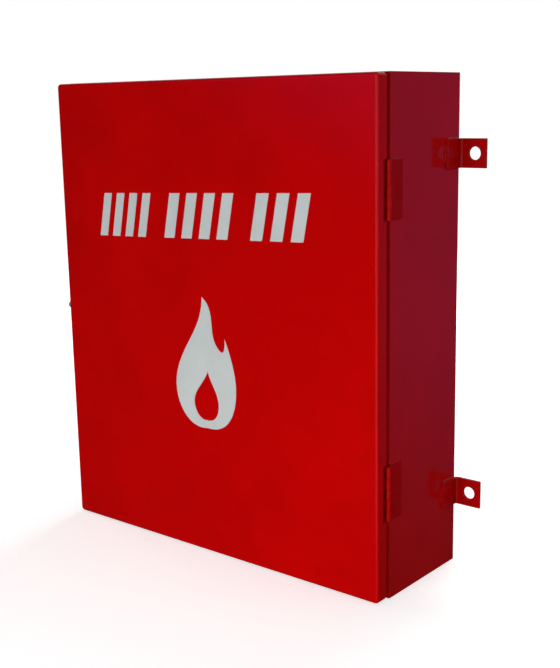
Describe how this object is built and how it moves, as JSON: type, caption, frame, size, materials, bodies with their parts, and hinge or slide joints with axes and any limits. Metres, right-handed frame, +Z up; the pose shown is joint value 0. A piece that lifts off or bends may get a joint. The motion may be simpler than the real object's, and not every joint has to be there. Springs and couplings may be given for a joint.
{
  "type": "fire hose box",
  "caption": "Wall-mounted red steel box for a fire hose, with a side-hung overlay door, a drop-hook latch, four wall lugs and a saddle and clips inside.",
  "frame": {"origin": "middle of the four wall-bolt holes, on the wall plane at mid height", "axes": "+Y into the wall, -Y out of the door, +Z up, +X to the right of a person facing the door"},
  "size_m": [0.685, 0.2003, 0.7],
  "materials": {
    "door_red": "glossy enamel",
    "body_red": "glossy enamel",
    "hinge_red": "glossy enamel over steel",
    "lug_red": "glossy enamel over flat bar",
    "inside_red": "satin enamel",
    "latch_steel": "zinc plated",
    "zinc_steel": "bright zinc plated",
    "spring_steel": "bright spring steel",
    "gasket_foam": "closed-cell foam rubber",
    "film_white": "satin self-adhesive film"
  },
  "bodies": {
    "cabinet": {"body_wrap": "body_red", "bottom_panel": "body_red", "clip_nuts": "zinc_steel", "clip_studs": "zinc_steel", "door_frame_bottom": "inside_red", "door_frame_left": "inside_red", "door_frame_right": "inside_red", "door_frame_top": "inside_red", "hook_nuts": "zinc_steel", "hook_studs": "zinc_steel", "latch_base_plate": "body_red", "latch_pivot_bolt": "latch_steel", "latch_pivot_nut": "zinc_steel", "lower_hinge_body_leaf": "hinge_red", "lower_hinge_pin": "hinge_red", "nozzle_clip_lower": "spring_steel", "nozzle_clip_upper": "spring_steel", "saddle_arch": "inside_red", "saddle_back_plate": "inside_red", "saddle_front_lip": "inside_red", "saddle_nuts": "zinc_steel", "saddle_studs": "zinc_steel", "spanner_hook": "inside_red", "top_panel": "body_red", "upper_hinge_body_leaf": "hinge_red", "upper_hinge_pin": "hinge_red", "wall_lug_lower_left": "lug_red", "wall_lug_lower_right": "lug_red", "wall_lug_upper_left": "lug_red", "wall_lug_upper_right": "lug_red"},
    "door": {"door_pan": "door_red", "door_stiffener": "door_red", "door_gasket": "gasket_foam", "upper_hinge_door_leaf": "hinge_red", "lower_hinge_door_leaf": "hinge_red", "latch_stud": "latch_steel", "stripe_decals": "film_white", "flame_decal": "film_white"},
    "hook": {"latch_hook": "latch_steel", "latch_knob": "latch_steel"}
  },
  "joints": [
    {"name": "door_hinge", "type": "hinge", "parent": "cabinet", "child": "door", "pos_m": [0.302, -0.177, 0], "axis": [0, 0, 1], "range_deg": [0, 180]},
    {"name": "hook_pivot", "type": "hinge", "parent": "cabinet", "child": "hook", "pos_m": [-0.3044, -0.147, 0], "axis": [1, 0, 0], "range_deg": [0, 270]}
  ]
}
